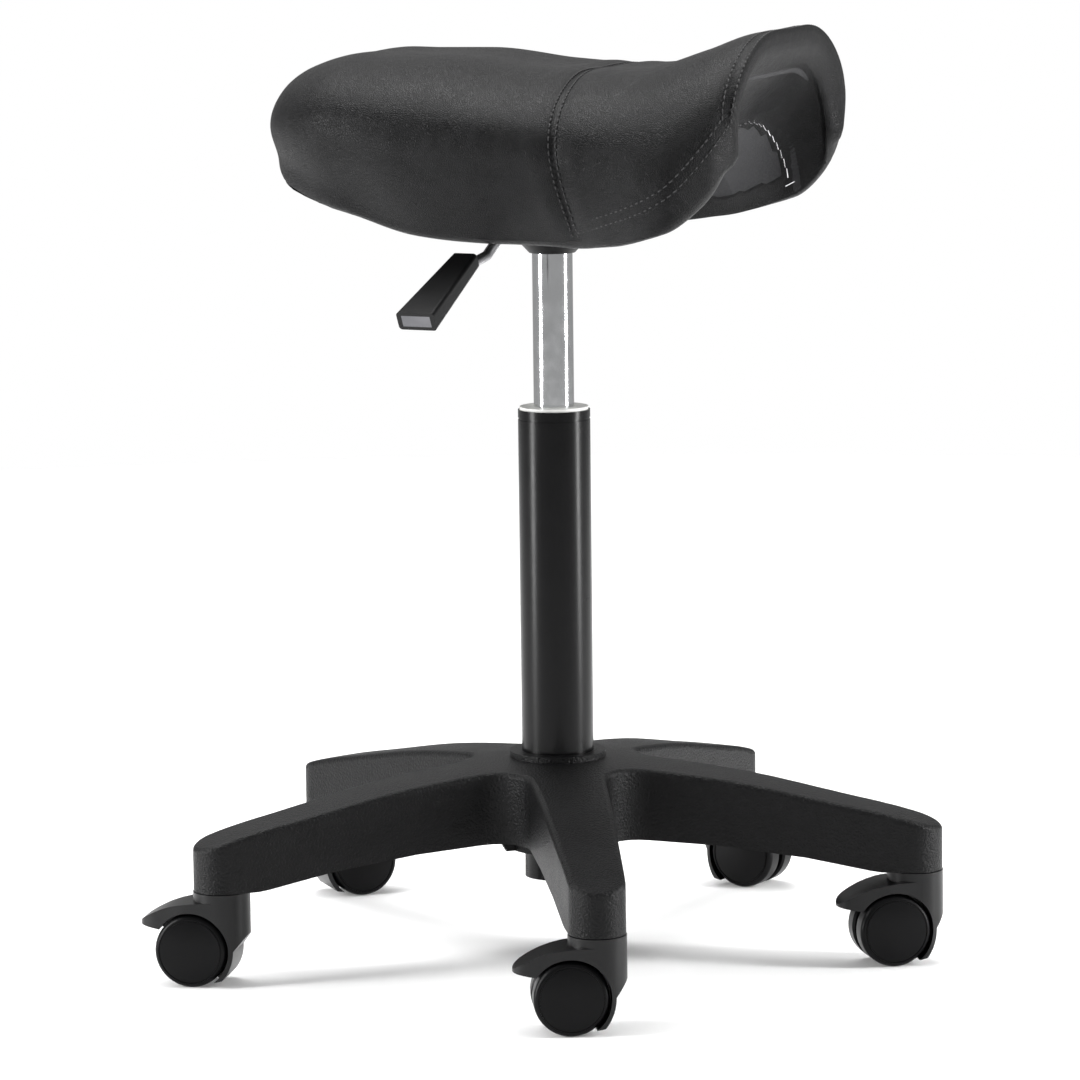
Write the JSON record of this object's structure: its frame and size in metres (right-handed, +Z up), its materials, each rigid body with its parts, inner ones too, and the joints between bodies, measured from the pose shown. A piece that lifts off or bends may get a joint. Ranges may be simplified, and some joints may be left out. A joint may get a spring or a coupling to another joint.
{
  "type": "saddle stool",
  "caption": "Treatment-room saddle stool: padded saddle on a gas lift with a height lever, over a star base on twin-wheel casters.",
  "frame": {"origin": "on the floor, on the axis of the column", "axes": "+Z up the column, +X towards the raised front of the saddle, +Y to the rider's left; the height lever is at -Y"},
  "size_m": [0.5105, 0.5269, 0.6433],
  "materials": {
    "base_nylon": "fine grained moulded black nylon",
    "hood_plastic": "smooth satin black nylon",
    "wheel_plastic": "satin black wheel",
    "column_paint": "satin black powder coat",
    "chrome": "polished chrome",
    "steel": "plain steel",
    "bush_plastic": "off-white bush",
    "black_steel": "semi-matte black paint",
    "rubber": "black rubber",
    "lever_plastic": "satin black plastic",
    "insert_plastic": "dark grey plastic",
    "leather": "black grained leather over foam",
    "plywood": "formed beech plywood",
    "lining": "black non-woven lining",
    "brass": "turned brass"
  },
  "bodies": {
    "base": {"base_star": "base_nylon", "caster_sleeves": "steel", "outer_column": "column_paint", "column_bush": "bush_plastic", "thrust_race_lower": "steel", "thrust_balls": "steel"},
    "lift_rod": {"piston_rod": "steel", "rod_clip": "steel", "rod_washer": "steel", "thrust_race_upper": "steel", "bump_rubber": "rubber", "piston_head": "brass", "piston_seal": "rubber", "piston_nut": "steel"},
    "saddle": {"gas_cylinder": "chrome", "pressure_tube": "steel", "rod_guide": "lever_plastic", "rod_seal": "rubber", "end_cap": "steel", "valve_block": "brass", "cylinder_socket": "black_steel", "socket_collar": "black_steel", "saddle_bracket": "black_steel", "seat_board": "plywood", "seat_cushion": "leather", "seat_lining": "lining", "tee_nuts": "steel", "bracket_washers": "steel", "bracket_bolts": "steel"},
    "lever": {"lever_rod": "steel", "lever_pin": "steel", "lever_paddle": "lever_plastic", "paddle_insert": "insert_plastic"},
    "valve": {"valve_pin": "steel"},
    "caster_1": {"caster_1_hood": "hood_plastic", "caster_1_stem": "steel", "caster_1_axle": "steel"},
    "caster_1_a": {"caster_1_wheel_a": "wheel_plastic"},
    "caster_1_b": {"caster_1_wheel_b": "wheel_plastic"},
    "caster_2": {"caster_2_hood": "hood_plastic", "caster_2_stem": "steel", "caster_2_axle": "steel"},
    "caster_2_a": {"caster_2_wheel_a": "wheel_plastic"},
    "caster_2_b": {"caster_2_wheel_b": "wheel_plastic"},
    "caster_3": {"caster_3_hood": "hood_plastic", "caster_3_stem": "steel", "caster_3_axle": "steel"},
    "caster_3_a": {"caster_3_wheel_a": "wheel_plastic"},
    "caster_3_b": {"caster_3_wheel_b": "wheel_plastic"},
    "caster_4": {"caster_4_hood": "hood_plastic", "caster_4_stem": "steel", "caster_4_axle": "steel"},
    "caster_4_a": {"caster_4_wheel_a": "wheel_plastic"},
    "caster_4_b": {"caster_4_wheel_b": "wheel_plastic"},
    "caster_5": {"caster_5_hood": "hood_plastic", "caster_5_stem": "steel", "caster_5_axle": "steel"},
    "caster_5_a": {"caster_5_wheel_a": "wheel_plastic"},
    "caster_5_b": {"caster_5_wheel_b": "wheel_plastic"}
  },
  "joints": [
    {"name": "seat_swivel", "type": "hinge", "parent": "base", "child": "lift_rod", "pos_m": [0, 0, 0.06], "axis": [0, 0, 1], "continuous": true},
    {"name": "seat_height", "type": "slide", "parent": "lift_rod", "child": "saddle", "axis": [0, 0, 1], "range_m": [-0.09, 0.1]},
    {"name": "lever_pull", "type": "hinge", "parent": "saddle", "child": "lever", "pos_m": [-0.00665, -0.04855, 0.523], "axis": [-0.9907, 0.1357, 0], "range_deg": [0, 4], "stiffness_Nm_per_rad": 3, "springref_deg": -3.44},
    {"name": "valve_press", "type": "slide", "parent": "saddle", "child": "valve", "axis": [0, 0, -1], "range_m": [0, 0.0036], "stiffness_N_per_m": 400, "springref_m": -0.0005},
    {"name": "caster_1_swivel", "type": "hinge", "parent": "base", "child": "caster_1", "pos_m": [0.10289, -0.22894, 0.06], "axis": [0, 0, 1], "continuous": true},
    {"name": "caster_1_roll_a", "type": "hinge", "parent": "caster_1", "child": "caster_1_a", "pos_m": [0.08586, -0.23617, 0.025], "axis": [0.3907, -0.9205, 0], "continuous": true},
    {"name": "caster_1_roll_b", "type": "hinge", "parent": "caster_1", "child": "caster_1_b", "pos_m": [0.08586, -0.23617, 0.025], "axis": [0.3907, -0.9205, 0], "continuous": true},
    {"name": "caster_2_swivel", "type": "hinge", "parent": "base", "child": "caster_2", "pos_m": [0.24953, 0.02711, 0.06], "axis": [0, 0, 1], "continuous": true},
    {"name": "caster_2_roll_a", "type": "hinge", "parent": "caster_2", "child": "caster_2_a", "pos_m": [0.23376, 0.01744, 0.025], "axis": [0.5225, -0.8526, 0], "continuous": true},
    {"name": "caster_2_roll_b", "type": "hinge", "parent": "caster_2", "child": "caster_2_b", "pos_m": [0.23376, 0.01744, 0.025], "axis": [0.5225, -0.8526, 0], "continuous": true},
    {"name": "caster_3_swivel", "type": "hinge", "parent": "base", "child": "caster_3", "pos_m": [0.05133, 0.2457, 0.06], "axis": [0, 0, 1], "continuous": true},
    {"name": "caster_3_roll_a", "type": "hinge", "parent": "caster_3", "child": "caster_3_a", "pos_m": [0.06942, 0.24185, 0.025], "axis": [0.2079, 0.9781, 0], "continuous": true},
    {"name": "caster_3_roll_b", "type": "hinge", "parent": "caster_3", "child": "caster_3_b", "pos_m": [0.06942, 0.24185, 0.025], "axis": [0.2079, 0.9781, 0], "continuous": true},
    {"name": "caster_4_swivel", "type": "hinge", "parent": "base", "child": "caster_4", "pos_m": [-0.21781, 0.12474, 0.06], "axis": [0, 0, 1], "continuous": true},
    {"name": "caster_4_roll_a", "type": "hinge", "parent": "caster_4", "child": "caster_4_a", "pos_m": [-0.20364, 0.13663, 0.025], "axis": [-0.6428, 0.766, 0], "continuous": true},
    {"name": "caster_4_roll_b", "type": "hinge", "parent": "caster_4", "child": "caster_4_b", "pos_m": [-0.20364, 0.13663, 0.025], "axis": [-0.6428, 0.766, 0], "continuous": true},
    {"name": "caster_5_swivel", "type": "hinge", "parent": "base", "child": "caster_5", "pos_m": [-0.18594, -0.1686, 0.06], "axis": [0, 0, 1], "continuous": true},
    {"name": "caster_5_roll_a", "type": "hinge", "parent": "caster_5", "child": "caster_5_a", "pos_m": [-0.20424, -0.17134, 0.025], "axis": [0.1478, -0.989, 0], "continuous": true},
    {"name": "caster_5_roll_b", "type": "hinge", "parent": "caster_5", "child": "caster_5_b", "pos_m": [-0.20424, -0.17134, 0.025], "axis": [0.1478, -0.989, 0], "continuous": true}
  ],
  "couplings": [
    {"joint": "valve_press", "follows": "lever_pull", "m_per_rad": 0.049}
  ]
}
